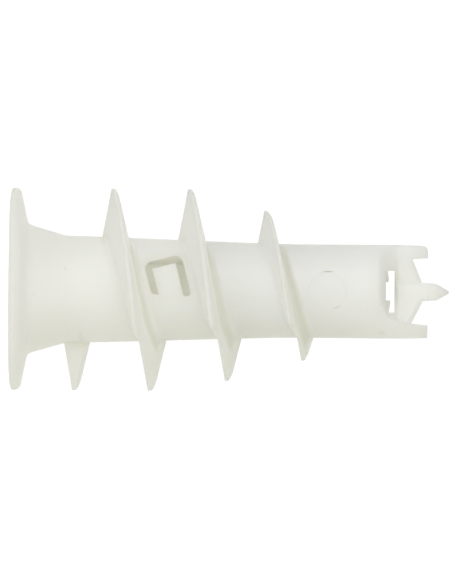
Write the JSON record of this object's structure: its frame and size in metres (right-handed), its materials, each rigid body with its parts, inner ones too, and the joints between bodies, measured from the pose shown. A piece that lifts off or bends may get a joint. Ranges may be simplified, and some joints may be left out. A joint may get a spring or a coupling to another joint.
{
  "type": "self-drilling plasterboard anchor",
  "caption": "One-piece nylon wall plug: round flange with cross driver recess, tapered hollow barrel with a coarse right-hand thread, U-slit tongues, see-through window and forked drill tip.",
  "frame": {"origin": "centre of the flange's outer face", "axes": "+Z along the axis from the flange to the drill point, XZ the mould's parting plane, -Y the side that carries the tongue and the ejector pin mark"},
  "size_m": [0.0148, 0.0148, 0.032],
  "materials": {
    "nylon": "as moulded, milky and slightly translucent, natural colour"
  },
  "bodies": {
    "root": {"anchor": "nylon"}
  },
  "joints": []
}
